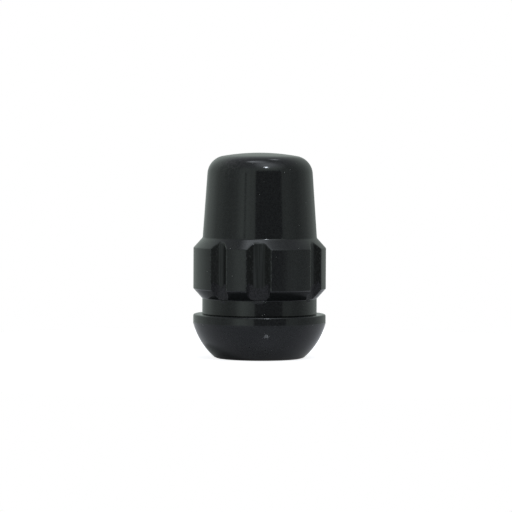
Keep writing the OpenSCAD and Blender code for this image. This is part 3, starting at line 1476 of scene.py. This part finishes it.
@dataclass(frozen=True)
class LightTent:
    """A light tent round the nut: pale walls with glowing patches, a dark opening, and its lamp.

    Sides are angles to the right of the camera as the nut sees it, heights are angles above the
    horizon, and brightnesses are shares of white as the nut's gloss shows them.
    """

    wall_tint: Colour = (0.91, 1.05, 0.98)
    top_tint: Colour = (0.94, 1.00, 1.07)
    gloss_share: float = 0.10
    # The walls from the back round by the left and the right, as (side, brightness)
    walls: tuple[Point, ...] = (
        (-175.0, 0.34), (-158.0, 0.46), (-118.0, 0.60), (-96.0, 0.42), (-64.0, 0.31),
        (-51.0, 0.39), (-38.0, 0.56), (10.0, 0.50), (58.0, 0.35), (83.0, 0.25),
        (107.0, 0.36), (125.0, 0.43), (145.0, 0.44), (165.0, 0.30), (175.0, 0.34),
    )
    fold_width: float = 7.0
    fold_depth: float = 0.30
    fold_seed: float = 3.0
    seam_side: float = -30.4
    seam_width: float = 3.4
    seam_bottom: float = 5.2
    seam_top: float = 13.0
    seam_fade: float = 0.5
    seam_depth: float = 0.85
    top_brightness: float = 0.33
    top_start: float = 30.0
    top_full: float = 60.0
    opening_start: float = -8.8
    opening_end: float = 47.8
    opening_blur: float = 1.2
    opening_top: float = 32.0
    opening_fade: float = 14.0
    key_lamp: SoftLamp = SoftLamp("key_lamp", 17.0, 49.0, 450.0, 48.0, 29.0)
    glows: tuple[Glow, ...] = (
        Glow(30.0, 56.0, 2.0, 36.0, 0.8),
        Glow(20.0, 66.0, 2.0, 24.0, 0.85),
        Glow(-84.0, 79.0, 0.0, 10.0, 2.2),
        Glow(-30.0, 86.0, 0.0, 15.0, 1.7),
        Glow(150.0, 65.0, 0.0, 7.0, 2.2),
        Glow(-168.0, 40.0, 6.0, 47.0, 0.28),
        Glow(-32.0, -5.0, 0.0, 22.0, 0.24),
    )

    def build(self) -> None:
        """Lights the scene."""
        self._light_world()
        self.key_lamp.hang()

    def _light_world(self) -> None:
        """Makes the tent as the world's light, and plain white as what the camera sees of it."""
        world = bpy.data.worlds.new("light_tent")
        world.use_nodes = True
        bpy.context.scene.world = world
        board = NodeBoard(world.node_tree)
        view = board.node("ShaderNodeTexCoord", {}).outputs["Generated"]
        split = board.node("ShaderNodeSeparateXYZ", {"Vector": view})
        east, north, up = (board.number(split, name) for name in "XYZ")
        degree = math.degrees(1.0)
        side = east.angle_from(north * -1) * degree
        height = up.most(-1.0).least(1.0).arc_sine() * degree
        top = height.ramp(self.top_start, self.top_full)
        walls = self._wall_brightness(side) * (1 - self._opening(side, height))
        walls = walls * self._folds(board, side) * (1 - self._seam(side, height))
        brightness = top.mix(walls, self._lit(self.top_brightness))
        for glow in self.glows:
            away = direction_of(glow.side, glow.height)
            closeness = (east * away.x + north * away.y + up * away.z).least(1.0)
            aside = (math.pi / 2 - closeness.arc_sine()) * degree
            brightness = brightness + (1 - aside.ramp(glow.core, glow.reach)) * glow.brightness
        tint = board.blend(top, self.wall_tint, self.top_tint)
        tent = board.node("ShaderNodeBackground", {"Color": tint, "Strength": brightness})
        backdrop = board.node("ShaderNodeBackground", {"Color": WHITE})
        both = board.join("ShaderNodeMixShader", tent, backdrop, sees_backdrop(board, self.gloss_share))
        board.node("ShaderNodeOutputWorld", {"Surface": both.outputs[0]})

    def _lit(self, brightness: float) -> float:
        """What the tent itself gives of a brightness, the rest being the white that gloss shows."""
        return max(0.0, brightness - self.gloss_share) / (1 - self.gloss_share)

    def _wall_brightness(self, side: Field) -> Field:
        """The brightness of the tent's walls, softly changing from each side to the next."""
        brightness: Number = self._lit(self.walls[0][1])
        for (start, before), (end, after) in zip(self.walls, self.walls[1:]):
            brightness = side.ramp(start, end) * (self._lit(after) - self._lit(before)) + brightness
        return brightness

    def _opening(self, side: Field, height: Field) -> Field:
        """The tent's dark opening, 1 inside it."""
        blur = self.opening_blur
        right = side.ramp(self.opening_start - blur, self.opening_start + blur)
        left = 1 - side.ramp(self.opening_end - blur, self.opening_end + blur)
        return right * left * (1 - height.ramp(self.opening_top - self.opening_fade, self.opening_top))

    def _folds(self, board: NodeBoard, side: Field) -> Field:
        """The upright folds of the cloth, which make the walls a little lighter and darker in turn."""
        folds = board.noise(board.vector(side, 0.0, 0.0), self.fold_width, self.fold_seed)
        return 1 + (folds - HALF) * self.fold_depth

    def _seam(self, side: Field, height: Field) -> Field:
        """How dark the stitched seam in the left wall is."""
        off_seam = abs(side - self.seam_side)
        above = height.ramp(self.seam_bottom - self.seam_fade, self.seam_bottom)
        below = 1 - height.ramp(self.seam_top, self.seam_top + self.seam_fade)
        return (1 - off_seam.ramp(0.0, self.seam_width)) * above * below * self.seam_depth


@dataclass(frozen=True)
class FloorPlate:
    """The round white plate that the nut stands on, which keeps a soft shadow."""

    radius: float = 80.0
    drop: float = 0.02
    corners: int = 128
    colour: Colour = (0.62, 0.60, 0.67)
    shine: float = 1.0
    gloss_index: float = 1.45
    gloss_roughness: float = 0.05
    # The share of white that gloss shows of the plate grows from its near part to its far part
    near_far: Point = (-18.0, 2.0)
    gloss_shares: tuple[float, float] = (0.07, 0.23)
    # The shade that the key lamp makes the nut cast on the plate, to its left and behind it
    shade_place: Point = (-3.2, 1.8)
    shade_core: float = 8.5
    shade_reach: float = 10.1
    shade_depth: float = 0.54
    lift: float = 0.85

    def build(self) -> None:
        """Lays the plate just under the nut."""
        places = [
            Vector((math.cos(turn) * self.radius, math.sin(turn) * self.radius, -self.drop)) * MILLIMETRE
            for turn in (FULL_TURN * i / self.corners for i in range(self.corners))
        ]
        mesh = bpy.data.meshes.new("white_plate")
        mesh.from_pydata(places, [], [tuple(range(self.corners))])
        mesh.materials.append(self._material())
        plate = bpy.data.objects.new("white_plate", mesh)
        bpy.context.scene.collection.objects.link(plate)

    def _material(self) -> bpy.types.Material:
        """White to the camera, a glossy pale plate to the nut, and clear from below.

        Returns:
            The plate's material.
        """
        material = bpy.data.materials.new("white_plate")
        material.use_nodes = True
        board = NodeBoard(material.node_tree)
        spot = board.node("ShaderNodeTexCoord", {}).outputs["Object"]
        north = board.number(board.node("ShaderNodeSeparateXYZ", {"Vector": spot}), "Y") / MILLIMETRE
        light = 1 - self._shade(board, spot)
        seen = sees_backdrop(board, north.ramp(*self.near_far).mix(*self.gloss_shares) * light)
        card = board.node("ShaderNodeBsdfDiffuse", {"Color": self.colour})
        white = board.node("ShaderNodeEmission", {"Strength": self.lift})
        shown = board.join("ShaderNodeAddShader", card, white)
        shaded = board.blend(light, BLACK, self.colour)
        gloss = {
            "Base Color": shaded,
            "Roughness": self.gloss_roughness,
            "IOR": self.gloss_index,
            "Specular IOR Level": self.shine,
        }
        mirrored = board.node("ShaderNodeBsdfPrincipled", gloss)
        upper = board.join("ShaderNodeMixShader", mirrored, shown, seen)
        clear = board.node("ShaderNodeBsdfTransparent", {})
        below = board.number(board.node("ShaderNodeNewGeometry", {}), "Backfacing")
        both = board.join("ShaderNodeMixShader", upper, clear, below)
        board.node("ShaderNodeOutputMaterial", {"Surface": both.outputs[0]})
        return material

    def _shade(self, board: NodeBoard, spot: bpy.types.NodeSocket) -> Field:
        """How deep the shade is at each spot of the plate."""
        middle = [length * MILLIMETRE for length in (*self.shade_place, -self.drop)]
        away = (board.distance(spot, middle) / MILLIMETRE).ramp(self.shade_core, self.shade_reach)
        return (1 - away) * self.shade_depth


@dataclass(frozen=True)
class PhotoCamera:
    """The camera, where the photograph was taken from."""

    place: tuple[float, float, float] = (6.07, -493.6, 37.0)
    target: tuple[float, float, float] = (-0.65, 0.0, 17.84)
    focal_length: float = 198.4
    sensor_width: float = 36.0
    roll: float = 0.28
    nearest: float = 10.0
    farthest: float = 10000.0

    def build(self) -> None:
        """Sets up the camera and makes it the scene's."""
        lens = bpy.data.cameras.new("photo_camera")
        lens.lens = self.focal_length
        lens.sensor_width = self.sensor_width
        lens.clip_start = self.nearest * MILLIMETRE
        lens.clip_end = self.farthest * MILLIMETRE
        camera = bpy.data.objects.new("photo_camera", lens)
        look = Vector(self.target) - Vector(self.place)
        level = look.to_track_quat("-Z", "Y").to_matrix()
        turned = level @ Matrix.Rotation(math.radians(self.roll), 3, "Z")
        camera.location = Vector(self.place) * MILLIMETRE
        camera.rotation_euler = turned.to_euler()
        bpy.context.scene.collection.objects.link(camera)
        bpy.context.scene.camera = camera


def main() -> None:
    """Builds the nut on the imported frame, then the tent and the camera."""
    logging.basicConfig(level=logging.INFO, format="%(name)s: %(message)s")
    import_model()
    nut = LugNut()
    piece = nut.build()
    nut.place(piece)
    mesh = piece.data
    log.info("%s has %d points and %d faces", piece.name, len(mesh.vertices), len(mesh.polygons))
    LightTent().build()
    FloorPlate().build()
    log.info("light tent and floor plate are up")
    PhotoCamera().build()
    log.info("camera is in place")
    bpy.context.scene.view_settings.view_transform = "Standard"


if __name__ == "__main__":
    main()
